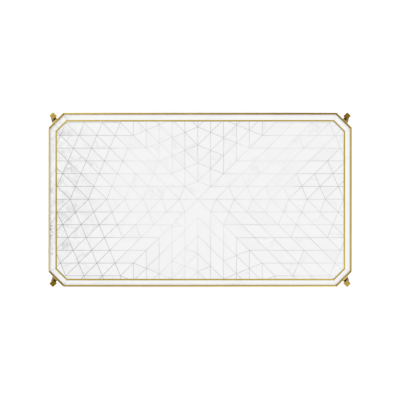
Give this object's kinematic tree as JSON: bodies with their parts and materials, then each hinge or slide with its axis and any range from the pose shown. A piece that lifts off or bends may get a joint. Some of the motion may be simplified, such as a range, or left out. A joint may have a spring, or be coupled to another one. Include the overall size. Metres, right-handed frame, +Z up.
{
  "type": "vanity tray",
  "caption": "Rectangular vanity tray with clipped corners: a mosaic marble top with a marble border, an inlaid brass line and a brass rim, standing on splayed brass legs at its corners.",
  "frame": {"origin": "on the table, under the centre of the panel's outline", "axes": "+X along the tray's length, +Y across it towards the back, +Z up"},
  "size_m": [0.3746, 0.2052, 0.0537],
  "materials": {
    "brass": "polished",
    "mosaic_marble": "satin",
    "border_marble": "satin",
    "mortar": "matte",
    "fibreboard": "matte",
    "walnut_veneer": "satin",
    "rubber": "matte"
  },
  "bodies": {
    "root": {"arm_back_left": "brass", "arm_back_right": "brass", "arm_front_left": "brass", "arm_front_right": "brass", "bedding": "mortar", "board": "fibreboard", "border_back": "border_marble", "border_back_left": "border_marble", "border_back_right": "border_marble", "border_front": "border_marble", "border_front_left": "border_marble", "border_front_right": "border_marble", "border_left": "border_marble", "border_right": "border_marble", "cap_back_left": "brass", "cap_back_right": "brass", "cap_front_left": "brass", "cap_front_right": "brass", "clip_back_left": "brass", "clip_back_right": "brass", "clip_front_left": "brass", "clip_front_right": "brass", "inlay_back": "brass", "inlay_back_left": "brass", "inlay_back_right": "brass", "inlay_front": "brass", "inlay_front_left": "brass", "inlay_front_right": "brass", "inlay_left": "brass", "inlay_right": "brass", "mosaic": "mosaic_marble", "pad_back_left": "rubber", "pad_back_right": "rubber", "pad_front_left": "rubber", "pad_front_right": "rubber", "rim_back": "brass", "rim_back_left": "brass", "rim_back_right": "brass", "rim_front": "brass", "rim_front_left": "brass", "rim_front_right": "brass", "rim_left": "brass", "rim_right": "brass", "screw_back_left_inner": "brass", "screw_back_left_outer": "brass", "screw_back_right_inner": "brass", "screw_back_right_outer": "brass", "screw_front_left_inner": "brass", "screw_front_left_outer": "brass", "screw_front_right_inner": "brass", "screw_front_right_outer": "brass", "shank_back_left": "brass", "shank_back_right": "brass", "shank_front_left": "brass", "shank_front_right": "brass", "veneer": "walnut_veneer"}
  },
  "joints": []
}
